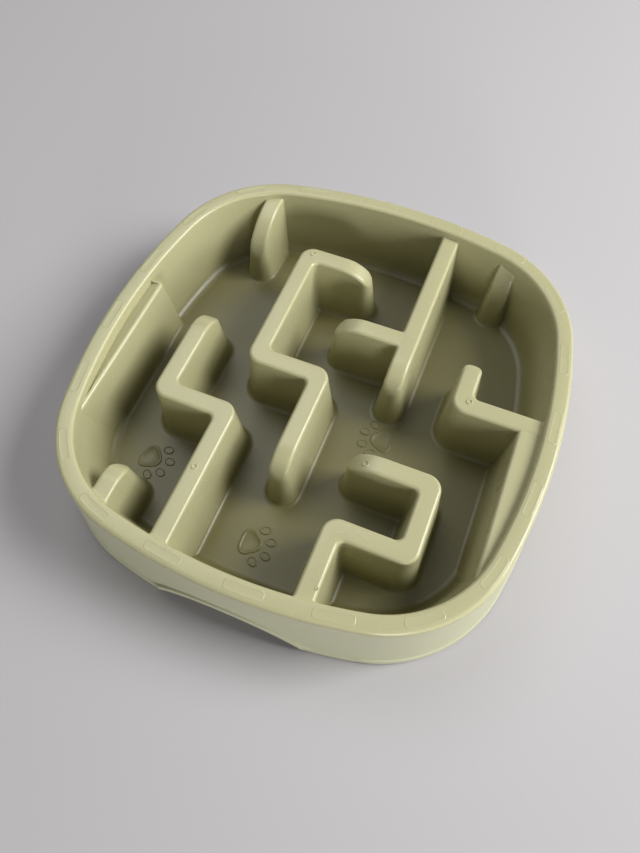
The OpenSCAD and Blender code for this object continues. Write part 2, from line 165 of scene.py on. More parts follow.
# The plastic: pigment that drifts a little, painted shade that darkens the faces towards the floor
# of the channels, edges lightened partly as rubbed wear and partly as a painted highlight, and a
# gloss that handling has dulled in patches.
pigment_scale = 14
pigment_thin = 0.96
pigment_thick = 1.03
noise_span = (0.2, 0.8)
# Painted shade: the colour darkens towards the bottom, most on faces that look up, less on upright
# faces.
painted_shade_heights = (8 * mm, 40 * mm)
painted_shade_share = 0.88
steep_span = (0, 0.08)
steep_painted_shade = 0.6
flat_span = (0.1, 0.9)
flat_painted_shade = 0.4
# Edges lightened near the top: partly rubbed wear, partly a painted highlight along the rounded
# edges.
edge_start = (0.25, 0.6)
edge_end = (0.8, 0.98)
wear_highlight_scale = 40
wear_highlight_heights = (41 * mm, 45 * mm)
wear_highlight_share = 0.3
wear_highlight_least = 0.7
wear_highlight_gain = 1.35
wear_highlight_lift = 0.03
handled_scale = 25
handled_span = (0.25, 0.75)
handled_bright = 0.02
handled_dull = 0.04
dull_heights = (9 * mm, 36 * mm)
dull_bottom = 0.13
sheen_heights = (9 * mm, 38 * mm)
sheen_bottom = 0.55
sheen_top = 0.45
grain_scale = 1300
grain_depth = 0.04 * mm
flow_scale = 30
flow_depth = 0.4 * mm
relief_strength = 0.1
glow_share = 0.1
glow_tone = (1, 0.9, 0.5)
glow_depth = 2 * mm


def moulded_plastic(name, colour, painted_shade_colour, gloss):
    """Moulded plastic: drifts of pigment, painted shade low down, worn and painted-highlight edges,
    a fine grain.
    """
    material = bpy.data.materials.new(name)
    material.use_nodes = True
    nodes = material.node_tree.nodes
    link = material.node_tree.links.new
    shader = nodes["Principled BSDF"]
    place = nodes.new("ShaderNodeTexCoord")

    def noise(scale, detail):
        node = nodes.new("ShaderNodeTexNoise")
        node.inputs["Scale"].default_value = scale
        node.inputs["Detail"].default_value = detail
        link(place.outputs["Object"], node.inputs["Vector"])
        return node.outputs["Fac"]

    def between(value, span, low, high):
        """Goes softly from one number to another while a value crosses a span."""
        node = nodes.new("ShaderNodeMapRange")
        node.interpolation_type = "SMOOTHSTEP"
        for socket, number in zip(("From Min", "From Max", "To Min", "To Max"), (*span, low, high)):
            node.inputs[socket].default_value = number
        link(value, node.inputs["Value"])
        return node.outputs["Result"]

    def maths(operation, first, second):
        node = nodes.new("ShaderNodeMath")
        node.operation = operation
        link(first, node.inputs[0])
        link(second, node.inputs[1])
        return node.outputs["Value"]

    def blended(share, first, second):
        """Mixes two tones, each a colour or another node's output."""
        node = nodes.new("ShaderNodeMix")
        node.data_type = "RGBA"
        link(share, node.inputs["Factor"])
        for socket, tone in zip((6, 7), (first, second)):
            if isinstance(tone, tuple):
                node.inputs[socket].default_value = (*tone, 1)
            else:
                link(tone, node.inputs[socket])
        return node.outputs[2]

    def relief(scale, detail, depth, under=None):
        """A bump of noise, on top of another one."""
        node = nodes.new("ShaderNodeBump")
        node.inputs["Strength"].default_value = relief_strength
        node.inputs["Distance"].default_value = depth
        link(noise(scale, detail), node.inputs["Height"])
        if under:
            link(under, node.inputs["Normal"])
        return node.outputs["Normal"]

    split = nodes.new("ShaderNodeSeparateXYZ")
    link(place.outputs["Object"], split.inputs["Vector"])
    height = split.outputs["Z"]
    facing = nodes.new("ShaderNodeSeparateXYZ")
    link(place.outputs["Normal"], facing.inputs["Vector"])
    upward = facing.outputs["Z"]

    drift = between(noise(pigment_scale, detail=2), noise_span, 0, 1)
    pigment = blended(drift, tuple(c * pigment_thin for c in colour),
                      tuple(c * pigment_thick for c in colour))
    # Painted shade: darker low down, most on faces that look up, less on upright ones, none on
    # those that face down.
    painted_shade_facing = maths("ADD", between(upward, steep_span, 0, steep_painted_shade),
                   between(upward, flat_span, 0, flat_painted_shade))
    painted_shade = maths("MULTIPLY", between(height, painted_shade_heights, painted_shade_share, 0), painted_shade_facing)
    pigment = blended(painted_shade, pigment, painted_shade_colour)
    # Rounded edges near the top are lightened: partly rubbed wear in noisy patches, partly a
    # painted highlight along them.
    edge = maths("MULTIPLY", between(upward, edge_start, 0, 1), between(upward, edge_end, 1, 0))
    edge = maths("MULTIPLY", edge, between(height, wear_highlight_heights, 0, wear_highlight_share))
    worn_and_highlit = maths("MULTIPLY", edge, between(noise(wear_highlight_scale, detail=2), noise_span, wear_highlight_least, 1))
    pigment = blended(worn_and_highlit, pigment, tuple(min(1, c * wear_highlight_gain + wear_highlight_lift) for c in colour))
    link(pigment, shader.inputs["Base Color"])

    handled = between(noise(handled_scale, detail=3), handled_span,
                      gloss - handled_bright, gloss + handled_dull)
    dull = between(height, dull_heights, dull_bottom, 0)
    link(maths("ADD", handled, dull), shader.inputs["Roughness"])
    sheen = between(height, sheen_heights, sheen_bottom, sheen_top)
    link(sheen, shader.inputs["Specular IOR Level"])

    grain = relief(grain_scale, detail=2, depth=grain_depth)
    flow = relief(flow_scale, detail=0, depth=flow_depth, under=grain)
    link(flow, shader.inputs["Normal"])
    shader.inputs["Subsurface Weight"].default_value = glow_share
    shader.inputs["Subsurface Radius"].default_value = glow_tone
    shader.inputs["Subsurface Scale"].default_value = glow_depth
    return material


# The bowl's sage, and the dark olive that the painted shade reaches at the floor.
sage = (0.468, 0.450, 0.256)
painted_shade_sage = (0.100, 0.088, 0.018)
bowl_gloss = 0.27
bowl_plastic = moulded_plastic("bowl_plastic", sage, painted_shade_sage, bowl_gloss)

# The maze's plan: ribs lie on the lines of a grid, and each path runs from the wall or from
# one nose to a nose at its other end. The floor needs it for its slots.
lane_x = 36.8 * mm
lane_y = 37.3 * mm
maze_middle = Vector((-0.8, -2.1)) * mm
left_run = 58 * mm
centre_back_run = 41 * mm
centre_front_run = 61.5 * mm
right_run = 31 * mm
branch_run = 44.5 * mm
front_run = 44.8 * mm
side_row = 11.2 * mm
side_hook_tip = 38.2 * mm
stub_tip = -82 * mm
fin_tip = 70 * mm

rib_top = 46 * mm
rib_half_width = 5 * mm
rib_draft = math.radians(5)
rib_round = 2 * mm
foot_fillet = 3 * mm
foot_reach = 0.3 * mm
foot_sink = 0.05 * mm
turn_middle_r = 3 * mm
inner_turn_r = 3.5 * mm
least_turn_r = 0.8 * mm
turn_tightening = 0.5
nose_r = 20 * mm
hook_nose_r = 7 * mm
stub_nose_r = 15 * mm
fin_nose_r = 34 * mm
nose_start = 0.5 * mm
nose_steps = 14
flare_share = 0.5
flare_steps = 6
bar_step = 2.5 * mm
least_bar_steps = 3
wall_bite = 0.3 * mm
branch_bite = 0.05 * mm
slot_land = 1 * mm
hollow_round = 0.8 * mm


def crossing(i, j):
    """A crossing of the maze's grid, counted from its middle."""
    return maze_middle + Vector((i * lane_x, j * lane_y))


def on_line(i, y):
    """A point on one of the grid's lines from the front to the back."""
    return Vector((crossing(i, 0).x, y))


maze = {
    "rib_left": {
        "path": [on_line(-1, -half_width), crossing(-1, -1), crossing(-2, -1),
                 crossing(-2, -1) + Vector((0, left_run))],
        "wall": side_arc(3), "nose": nose_r,
    },
    "rib_centre": {
        "path": [crossing(-1, 2) + Vector((centre_back_run, 0)), crossing(-1, 2),
                 crossing(-1, 0), crossing(0, 0), crossing(0, 0) - Vector((0, centre_front_run))],
        "wall": None, "nose": nose_r,
    },
    "rib_right": {
        "path": [on_line(1, half_width), crossing(1, 1) - Vector((0, right_run))],
        "wall": side_arc(1), "nose": nose_r,
    },
    "rib_right_branch": {
        "path": [crossing(1, 1), crossing(1, 1) - Vector((branch_run, 0))],
        "wall": None, "nose": nose_r, "open_start": True,
    },
    "rib_front": {
        "path": [on_line(1, -half_width), crossing(1, -2), crossing(2, -2), crossing(2, -1),
                 crossing(2, -1) - Vector((front_run, 0))],
        "wall": side_arc(3), "nose": nose_r,
    },
    "rib_side": {
        "path": [crossing(2, 0) + Vector((half_width, side_row)),
                 crossing(2, 0) + Vector((0, side_row)),
                 crossing(2, 0) + Vector((0, side_hook_tip))],
        "wall": side_arc(0), "nose": hook_nose_r,
    },
    "stub_front_left": {
        "path": [on_line(-2, -half_width), on_line(-2, stub_tip)],
        "wall": corner_arc(2), "nose": stub_nose_r,
    },
    "fin_back_left": {
        "path": [on_line(-2, half_width), on_line(-2, fin_tip)],
        "wall": corner_arc(1), "nose": fin_nose_r,
    },
}
wall_top = (
    inner_round - rim_land - inner_round * math.cos(wall_lean),
    rim_top - inner_round + inner_round * math.sin(wall_lean),
)


def wall_out(height):
    """The inner wall's place inside the rim's edge, at a height."""
    return wall_top[0] - (wall_top[1] - height) * math.tan(wall_lean)


fillet_middle_height = floor_top + floor_fillet
fillet_high = fillet_middle_height - floor_fillet * math.sin(wall_lean)
fillet_out = wall_out(fillet_high) - floor_fillet * math.cos(wall_lean)


def wall_face(height):
    """The same with the fillet round the floor."""
    if height >= fillet_high:
        return wall_out(height)
    drop = min(fillet_middle_height - height, floor_fillet)
    return fillet_out + math.sqrt(floor_fillet ** 2 - drop ** 2)


def to_wall(point, ahead, arc_of_wall, out):
    """Where a line from a point meets a wall's face on its way back to it."""
    middle, radius = arc_of_wall
    from_middle = point - middle
    along = from_middle.dot(ahead)
    reach = radius + out
    inside = reach ** 2 - from_middle.length_squared + along ** 2
    return point + ahead * (-along - math.sqrt(max(inside, 0)))


def half_at(height):
    """Half a rib's width at a height."""
    return rib_half_width + (rib_top - height) * math.tan(rib_draft)


def inner_radius(half):
    """Radius of a rib's inner corners, which tightens as the rib widens to its foot."""
    return max(inner_turn_r - (half - rib_half_width) * turn_tightening, least_turn_r)


def edge_point(path, i, side, half, at_start):
    """The end of a rib's straight edge at a corner of its path, or at the path's end."""
    ahead = (path[i + 1] - path[i]).normalized()
    across = Vector((-ahead.y, ahead.x)) * side
    corner = i if at_start else i + 1
    base = path[corner] + across * half
    if corner in (0, len(path) - 1):
        return base
    before = (path[corner] - path[corner - 1]).normalized()
    after = (path[corner + 1] - path[corner]).normalized()
    inner = before.cross(after) * side > 0
    room = half + inner_radius(half) if inner else turn_middle_r
    return base + ahead * (room if at_start else -room)


def corner_points(path, i, side, half, steps=9):
    """The rounding of a rib's edge where its path turns."""
    before = (path[i] - path[i - 1]).normalized()
    after = (path[i + 1] - path[i]).normalized()
    first = Vector((-before.y, before.x)) * side
    second = Vector((-after.y, after.x)) * side
    if before.cross(after) * side > 0:
        radius = inner_radius(half)
        middle = path[i] + (first + second) * (half + radius)
        first, second = -first, -second
    else:
        radius = turn_middle_r + half
        middle = path[i] - (first + second) * turn_middle_r
    points = []
    for k in range(1, steps):
        angle = math.pi / 2 * k / steps
        points.append(middle + (first * math.cos(angle) + second * math.sin(angle)) * radius)
    return points


def flare(path, side, half, arc_of_wall, out):
    """The curve that eases a rib's edge out of the wall, or out of the rib that it grows from."""
    ahead = (path[1] - path[0]).normalized()
    across = Vector((-ahead.y, ahead.x)) * side
    radius = inner_radius(half) * flare_share
    corner = path[0] + across * half
    if arc_of_wall:
        far = to_wall(corner + across * radius, ahead, arc_of_wall, out)
        corner = to_wall(corner, ahead, arc_of_wall, out)
    else:
        corner = corner + ahead * (half - branch_bite)
        far = corner + across * radius
    near = corner + ahead * radius
    shares = [k / flare_steps for k in range(flare_steps)]
    return [far * (1 - t) ** 2 + corner * 2 * t * (1 - t) + near * t ** 2 for t in shares], near


def rib_edge(path, side, half, eased, arc_of_wall, out):
    """One long edge of a rib, as points with the number of the bar that each lies on."""
    edge = []
    last = len(path) - 2
    for i in range(last + 1):
        start = edge_point(path, i, side, half, True)
        end = edge_point(path, i, side, half, False)
        if i == 0 and eased:
            curve, start = flare(path, side, half, arc_of_wall, out)
            edge += [(point, -1) for point in curve]
        steps = max(least_bar_steps, round((path[i + 1] - path[i]).length / bar_step))
        edge += [(start.lerp(end, k / steps), i) for k in range(steps + 1)]
        if i < last:
            edge += [(point, -1) for point in corner_points(path, i + 1, side, half)]
    return edge


def round_nose(end, ahead, half):
    """The half circle of a rib's end on the plan, from its left edge to its right."""
    across = Vector((-ahead.y, ahead.x))
    angles = [math.pi * k / nose_steps for k in range(1, nose_steps)]
    return [end + (across * math.cos(a) + ahead * math.sin(a)) * half for a in angles]


def height_share(back, nose, top, base):
    """The share of its height that a rib keeps at a distance back from its nose."""
    reach = min(max(back, 0) + nose_start, nose)
    fall = nose - math.sqrt(nose ** 2 - (nose - reach) ** 2)
    return (top - base - fall) / (top - base)


def rib_levels(rib, levels, top, base, inset=0):
    """A rib's outlines, one for each level of (half width, height), and its edge's length."""
    path = list(rib["path"])
    nose = rib["nose"] - inset
    ahead_end = (path[-1] - path[-2]).normalized()
    ahead_start = (path[0] - path[1]).normalized()
    tip_end = path[-1] - ahead_end * inset
    tip_start = path[0] - ahead_start * inset
    back_off = half_at(rib_top - rib["nose"])
    path[-1] = path[-1] - ahead_end * back_off
    nose_at_start = not rib["wall"] and not rib.get("open_start")
    if nose_at_start:
        path[0] = path[0] - ahead_start * back_off
    arc_of_wall = rib["wall"]
    eased = not nose_at_start and not inset
    if inset and arc_of_wall:
        path[0] = to_wall(path[1], -ahead_start, arc_of_wall, fillet_out - slot_land)
    elif inset and not nose_at_start:
        path[0] = path[0] - ahead_start * (half_at(floor_top) + foot_fillet + slot_land)
    rows = []
    for half, height in levels:
        out = wall_face(height) + wall_bite
        left = rib_edge(path, 1, half, eased, arc_of_wall, out)
        right = rib_edge(path, -1, half, eased, arc_of_wall, out)
        last = len(path) - 2
        outline = left + [(p, last) for p in round_nose(path[-1], ahead_end, half)] + right[::-1]
        if nose_at_start:
            outline += [(p, 0) for p in round_nose(path[0], ahead_start, half)]
        row = []
        for point, bar in outline:
            share = 1
            if bar == last:
                back = (tip_end - point).dot(ahead_end)
                share = min(share, height_share(back, nose, top, base))
            if bar == 0 and nose_at_start:
                back = (tip_start - point).dot(ahead_start)
                share = min(share, height_share(back, nose, top, base))
            row.append(Vector((point.x, point.y, base + (height - base) * share)))
        rows.append(row)
    return rows, len(left)


def rib_section(top=rib_top, side_rows=5):
    """Half width and height down a rib: its rounded top edge, drafted side and foot fillet."""
    slant = math.degrees(rib_draft)
    flat = half_at(top) - rib_round * (1 - math.sin(rib_draft)) / math.cos(rib_draft)
    section = arc((flat, top - rib_round), rib_round, 90, slant, steps=7)
    middle_height = floor_top + foot_fillet
    middle = (half_at(middle_height) + foot_fillet / math.cos(rib_draft), middle_height)
    low = arc(middle, foot_fillet, 180 + slant, 270, steps=6)
    high_half, high = section[-1]
    low_half, low_height = low[0]
    for k in range(1, side_rows):
        half = high_half + (low_half - high_half) * k / side_rows
        section.append((half, high + (low_height - high) * k / side_rows))
    section += low[:-1]
    section.append((low[-1][0] + foot_reach, floor_top - foot_sink))
    return section


def hollow_section():
    """The same for the hollow under a rib, from its roof to the floor's underside."""
    roof = rib_top - wall
    wide = half_at(roof) - wall
    section = arc((wide - hollow_round, roof - hollow_round), hollow_round, 90, 0, steps=4)
    for height in (roof / 2, floor_top, floor_under):
        section.append((half_at(max(height, floor_top)) - wall, height))
    return section


def hollow_rows(rib):
    """The outlines of the hollow under a rib, and its edge's length."""
    return rib_levels(rib, hollow_section(), rib_top - wall, floor_under, wall)


columns = rim_columns()


def swept(section):
    """Rows of points all round the rim, from distances outside its edge and heights."""
    return [[on_rim(column, out, height) for column in columns] for out, height in section]


skirt_angle = math.atan(skirt_slope)
outer_middle = (
    (outer_round + joint_height - rim_top) * skirt_slope - outer_round / math.cos(skirt_angle),
    rim_top - outer_round,
)
inner_middle = (inner_round - rim_land, rim_top - inner_round)
lean = math.degrees(wall_lean)
top_side = [(0, joint_height)]
top_side += arc(outer_middle, outer_round, math.degrees(skirt_angle), 90, steps=7)
top_side += arc(inner_middle, inner_round, 90, 180 - lean, steps=6)
fillet = arc((fillet_out, fillet_middle_height), floor_fillet, -lean, -90, steps=9)
high, low = top_side[-1][1], fillet[0][1]
for k in range(1, wall_rows):
    height = high + (low - high) * k / wall_rows
    top_side.append((wall_out(height), height))
top_side += fillet

under_top = rim_top - wall
wall_across = wall / math.cos(wall_lean)
under_side = [(-wall, joint_height)]
under_side += arc((-wall - under_round, under_top - under_round), under_round, 0, 90, steps=3)
for height in (under_top, under_top - under_round, wall_middle, floor_under + floor_bevel):
    under_side.append((wall_out(height) + wall_across, height))
under_side.append((wall_out(floor_under) + wall_across - floor_bevel, floor_under))
under_side.append((fillet_out, floor_under))

bowl = bmesh.new()
upper = add_sheet(bowl, swept(top_side), closed=True)
lower = add_sheet(bowl, swept(under_side), closed=True)
add_sheet(bowl, swept([(0, joint_height), (-wall, joint_height)]), closed=True)
for loop, height in ((upper[-1], floor_top), (lower[-1], floor_under)):
    holes = []
    for rib in maze.values():
        slot = [Vector((p.x, p.y, height)) for p in hollow_rows(rib)[0][-1]]
        holes.append([bowl.verts.new(p) for p in slot])
    fill_between(bowl, [loop] + holes)
finished(bowl, "inner_bowl_looks", bowl_plastic, "bowl_plastic", "inner_bowl")

# The ribs of the maze: upright walls with a rounded top edge, drafted sides and noses that
# fall away in a curve. Part of the same moulding, and hollow from beneath.


def cap_across(bm, loop, edge_length):
    """Closes a rib's top with quads from one long edge to the other."""
    nose_end = edge_length + nose_steps - 1
    left = loop[:edge_length]
    nose = loop[edge_length:nose_end]
    right = loop[nose_end:nose_end + edge_length][::-1]
    rest = loop[nose_end + edge_length:]
    for k in range(edge_length - 1):
        bm.faces.new((left[k], left[k + 1], right[k + 1], right[k]))
    for ends, points in (((left[-1], right[-1]), nose), ((right[0], left[0]), rest)):
        ring = [ends[0], *points, ends[1]] if points else []
        low, high = 0, len(ring) - 1
        while high - low > 2:
            bm.faces.new((ring[low], ring[low + 1], ring[high - 1], ring[high]))
            low += 1
            high -= 1
        if high - low == 2:
            bm.faces.new((ring[low], ring[low + 1], ring[high]))


def add_rib(bm, rib):
    """A rib's outer skin, turned to face out, and the skin of the hollow under it."""
    open_end = rib["wall"] or rib.get("open_start")
    rows, edge_length = rib_levels(rib, rib_section(), rib_top, floor_top)
    cap_across(bm, add_sheet(bm, rows, closed=not open_end)[0], edge_length)
    bmesh.ops.reverse_faces(bm, faces=bm.faces)
    rows, edge_length = hollow_rows(rib)
    cap_across(bm, add_sheet(bm, rows, closed=True)[0], edge_length)


for rib_name, rib in maze.items():
    rib_mesh = bmesh.new()
    add_rib(rib_mesh, rib)
    finished(rib_mesh, rib_name + "_looks", bowl_plastic, "bowl_plastic", rib_name,
             turned_by_hand=True)

# The short fin at the back right: a low rib that slopes straight down from the wall. It is
# part of the moulding, and it stands on the floor with no hollow of its own.
short_fin_top = 44.5 * mm
short_fin_tip = 90 * mm
short_fin_slope = 17 * mm
short_fin_bend = 1.5
short_fin_lead = 1 * mm
short_fin_least = 0.06
short_fin = {
    "path": [on_line(2, half_width), on_line(2, short_fin_tip)],
    "wall": corner_arc(0), "nose": nose_r,
}
fin_mesh = bmesh.new()
fin_rows, fin_edge = rib_levels(short_fin, rib_section(short_fin_top), rib_top, floor_top)
for row in fin_rows:
    for point in row:
        back = point.y - short_fin_tip
        up_slope = min(max((back + short_fin_lead) / short_fin_slope, short_fin_least), 1)
        share = 1 - (1 - up_slope) ** short_fin_bend
        keep = height_share(back, nose_r, rib_top, floor_top) if back < nose_r else 1
        point.z = floor_top + (point.z - floor_top) / keep * share
cap_across(fin_mesh, add_sheet(fin_mesh, fin_rows)[0], fin_edge)
bmesh.ops.reverse_faces(fin_mesh, faces=fin_mesh.faces)
finished(fin_mesh, "fin_back_right_looks", bowl_plastic, "bowl_plastic", "fin_back_right",
         turned_by_hand=True)

# The two ledges: each fills the space between a straight face and the bowed wall, and runs out
# where the two meet. They are part of the same moulding.
left_ledge_reach = 107 * mm
left_ledge_end = 22 * mm
left_ledge_fall = 2.2 * mm
right_ledge_reach = 104 * mm
right_ledge_end = crossing(2, 0).y + side_row
right_ledge_fall = 0.3 * mm
ledge_corner_r = 2.5 * mm
ledge_steps = 24
ledge_turn_steps = 8
ledge_end_steps = 5
ledge_top_shares = (0, 0.2, 0.4, 0.6, 0.8, 0.92)
top_gap = 0.03 * mm
run_out_share = 0.7
run_out_halvings = 30


def wall_behind(y, out):
    """The reach of the left or right wall's face from the middle of the bowl, at a place."""
    if abs(y) <= (side_r + out) * math.sin(side_angle):
        return math.sqrt((side_r + out) ** 2 - y ** 2) - side_mid
    return corner_mid + math.sqrt((corner_r + out) ** 2 - (abs(y) - corner_mid) ** 2)


def run_out(reach, out):
    """The place before the middle where a ledge's face meets the wall."""
    low, high = 0, -corner_mid - corner_r * run_out_share
    for _ in range(run_out_halvings):
        y = (low + high) / 2
        if wall_behind(y, out) > reach:
            low = y
        else:
            high = y
    return low


def ledge_places(reach, end, free_end, proud, height):
    """A ledge's outline on the plan at a height, where its face stands proud of its top edge."""
    out = wall_face(height) + wall_bite
    face = reach - proud
    round_r = max(ledge_corner_r + proud, least_turn_r) if free_end else 0
    back = end + (proud if free_end else 0)
    if not free_end and height < rib_top - wall:
        back = end - half_at(height) + wall / 2
    start = run_out(face, out)
    run = back - round_r - start
    places = [(face, start + run * k / ledge_steps) for k in range(ledge_steps + 1)]
    if free_end:
        for k in range(1, ledge_turn_steps + 1):
            angle = math.pi / 2 * k / ledge_turn_steps
            places.append((face + round_r * (1 - math.cos(angle)),
                           back - round_r * (1 - math.sin(angle))))
        turned_face = face + round_r
        depth = wall_behind(back, out) - face - round_r
        places += [(turned_face + depth * k / ledge_end_steps, back)
                   for k in range(1, ledge_end_steps + 1)]
    return places


def add_ledge(name, reach, end, hand, free_end, fall):
    """A ledge on the left (hand -1) or right (hand 1), whose top falls a little to the wall."""
    rows = []
    for half, height in rib_section():
        places = ledge_places(reach, end, free_end, half - rib_half_width, height)
        rows.append([Vector((hand * x, y, height)) for x, y in places])
    behind = wall_face(rib_top) + wall_bite
    back_edge = [Vector((hand * wall_behind(p.y, behind), p.y, rib_top)) for p in rows[0]]
    top = []
    for share in ledge_top_shares:
        sink = fall * (1 - share) + top_gap
        top.append([a.lerp(b, share) - Vector((0, 0, sink)) for a, b in zip(back_edge, rows[0])])
    rows[0] = [p - Vector((0, 0, top_gap)) for p in rows[0]]
    mesh = bmesh.new()
    add_sheet(mesh, top + rows)
    if hand > 0:
        bmesh.ops.reverse_faces(mesh, faces=mesh.faces)
    finished(mesh, name + "_looks", bowl_plastic, "bowl_plastic", name, turned_by_hand=True)


add_ledge("ledge_left", left_ledge_reach, left_ledge_end, -1, True, left_ledge_fall)
add_ledge("ledge_right", right_ledge_reach, right_ledge_end, 1, False, right_ledge_fall)

# The skirt: the outer wall that flares from the rim down to a bead along its foot, with a
# lipped finger arch at the front and back. It hangs from the rim as one moulding with it.
# The skirt's colour is a paler, greener copy of the bowl's sage: painted light for the light that
# its translucent outer face catches. Its painted-shade colour is kept nearly the same, so the skirt
# is hardly darkened towards the bottom.
lit_skirt_sage = (0.505, 0.50, 0.335)
skirt_painted_shade_sage = (0.50, 0.505, 0.335)
skirt_gloss = 0.38
skirt_plastic = moulded_plastic("skirt_plastic", lit_skirt_sage, skirt_painted_shade_sage, skirt_gloss)
bead_high = 5 * mm
bead_proud = 0.7 * mm
# Share of the bead's proudness, and height in millimetres, down the bead's upper edge.
bead_steps = ((0.06, 0.2), (0.35, 0), (0.75, -0.15), (0.95, -0.4), (1, -0.9))
bead_lead = 0.5 * mm
face_rows = 6
foot_round = 0.8 * mm
foot_round_start = -20
arched_sides = (1, 3)
arch_width = 83 * mm
arch_rise = 21 * mm
arch_ease = 1.5 * mm
arch_r = ((arch_width / 2) ** 2 + arch_rise ** 2) / (2 * arch_rise)
arch_middle = skirt_gap + arch_rise - arch_r
lip_width = 4 * mm
lip_proud = 1 * mm
lip_swell = 0.36 * mm
lip_start = 2 * mm


def eased_top(first, second):
    """The higher of two heights, eased where they cross."""
    return (first + second + math.sqrt((first - second) ** 2 + arch_ease ** 2) - arch_ease) / 2


def arch_height(x, radius):
    """The height of an arch with the finger arch's middle, at a distance from it."""
    return arch_middle + math.sqrt(max(radius ** 2 - x ** 2, 0))


def skirt_line(height):
    """How far the skirt's face has flared at a height."""
    return (joint_height - height) * skirt_slope


def skirt_section(x, arched):
    """The skirt's section from its joint with the rim, down its face and up its back."""
    foot, band, proud = skirt_gap, skirt_gap + bead_high, bead_proud
    if arched:
        foot = eased_top(arch_height(x, arch_r), skirt_gap)
        band = eased_top(arch_height(x, arch_r + lip_width), skirt_gap + bead_high)
        share = min(max((foot - skirt_gap) / lip_start, 0), 1)
        swell = lip_swell * (1 - ((foot - skirt_gap) / arch_rise) ** 2)
        proud = bead_proud + (lip_proud + swell - bead_proud) * share
    foot_middle = foot + foot_round
    section = []
    for k in range(face_rows + 1):
        height = joint_height + (band + bead_lead - joint_height) * k / face_rows
        section.append((skirt_line(height), height))
    for out_share, down in bead_steps:
        height = band + down * mm
        section.append((skirt_line(height) + proud * out_share, height))
    bead_edge = section[-1][1]
    for height in (bead_edge + (foot_middle - bead_edge) / 2, foot_middle):
        section.append((skirt_line(height) + proud, height))
    outer = section[-1][0]
    section += arc((outer - foot_round, foot_middle), foot_round, foot_round_start, -90, steps=4)
    inner = skirt_line(foot) - wall
    section += arc((inner + foot_round, foot_middle), foot_round, -90, -180, steps=4)
    for k in range(1, face_rows + 1):
        height = foot_middle + (joint_height - foot_middle) * k / face_rows
        section.append((skirt_line(height) - wall, height))
    return section


skirt_rows = []
for k, column in enumerate(columns):
    quarter, step = divmod(k, side_steps + corner_steps)
    x = on_rim(column, skirt_flare, 0).x
    section = skirt_section(x, step < side_steps and quarter in arched_sides)
    skirt_rows.append([on_rim(column, u, z) for u, z in section])
skirt = bmesh.new()
add_sheet(skirt, [list(row) for row in zip(*skirt_rows)], closed=True)
finished(skirt, "outer_skirt_looks", skirt_plastic, "skirt_plastic", "outer_skirt")

# The raised marks: dashes round the rim, paw prints on the floor and the small rings that the
# mould's pins leave on the ribs. All are part of the moulding and of its colour.
dash_length = 20 * mm
dash_width = 5.2 * mm
dash_corner = 2 * mm
dash_inside = 0.2 * mm
dash_steps = 8
dash_count = 5
dash_start = 0.25
# Inset and rise of a dash's outlines, in millimetres.
dash_levels = ((0, -0.05), (0.1, 0.03), (0.3, 0.09), (0.5, 0.12), (0.7, 0.1), (0.9, 0.06),
               (1.1, 0.05))
least_corner = 0.05 * mm
side_run = side_angle * side_r
corner_run = (math.pi / 2 - 2 * side_angle) * corner_r
quarter_run = 2 * side_run + corner_run


def rim_place(run):
    """The place at a run along the rim's edge from the middle of the right side."""
    quarter = int((run + side_run) // quarter_run)
    run -= quarter * quarter_run
    turn = quarter * math.pi / 2
    if run <= side_run:
        return (*side_arc(quarter), turn + run / side_r)
    return (*corner_arc(quarter), turn + side_angle + (run - side_run) / corner_r)


def dash_outline(inset):
    """The outline of a rectangle with round corners, taken in by an inset."""
    outline = []
    radius = max(dash_corner - inset, least_corner)
    for turn, (sx, sy) in enumerate(((1, 1), (-1, 1), (-1, -1), (1, -1))):
        middle = (sx * (dash_length / 2 - inset - radius), sy * (dash_width / 2 - inset - radius))
        outline += arc(middle, radius, 90 * turn, 90 * turn + 90, steps=5)
    return outline


def along_dash(outline):
    """Adds points along a dash's long edges, so that it follows the rim's curve."""
    points = []
    for k, point in enumerate(outline):
        after = outline[(k + 1) % len(outline)]
        points.append(point)
        run = after[0] - point[0]
        if abs(run) > dash_length / 2:
            points += [(point[0] + run * j / dash_steps, point[1]) for j in range(1, dash_steps)]
    return points


def add_mark(bm, outlines):
    """A raised mark from outlines that climb over its edge, closed at the last one."""
    made = add_sheet(bm, outlines, closed=True)
    bm.faces.new(made[-1])


marks = bmesh.new()
dash_out = -rim_land / 2 - dash_inside
for k in range(4 * dash_count):
    middle_run = quarter_run * (k + dash_start) / dash_count
    outlines = []
    for inset, rise in dash_levels:
        outlines.append([on_rim(rim_place(middle_run + a), b + dash_out, rim_top + rise * mm)
                         for a, b in along_dash(dash_outline(inset * mm))])
    add_mark(marks, outlines)

pad = (12 * mm, 13.8 * mm)
pad_lobes = 0.12
toe = (6 * mm, 4.5 * mm)
# Place of each toe in millimetres, and its tilt in degrees.
toe_places = ((10.4, 3.9, 12), (10.4, -3.9, -12), (5.3, 8.9, 30), (5.3, -8.9, -30))
# Size of an outline as a share of the whole, and its rise in millimetres.
paw_levels = ((1, -0.05), (1, 0.3), (0.96, 0.55), (0.9, 0.62), (0.82, 0.56), (0.76, 0.3),
              (0.73, 0.2))
# Place of each paw print in millimetres, and its turn in degrees.
paw_places = ((-5.5, -89.5, 0), (39, -8.4, 190), (-77.5, -65.7, -14))


def rotated(point, degrees):
    """A point on the plan, turned about nought by an angle."""
    angle = math.radians(degrees)
    return Vector((point.x * math.cos(angle) - point.y * math.sin(angle),
                   point.x * math.sin(angle) + point.y * math.cos(angle)))


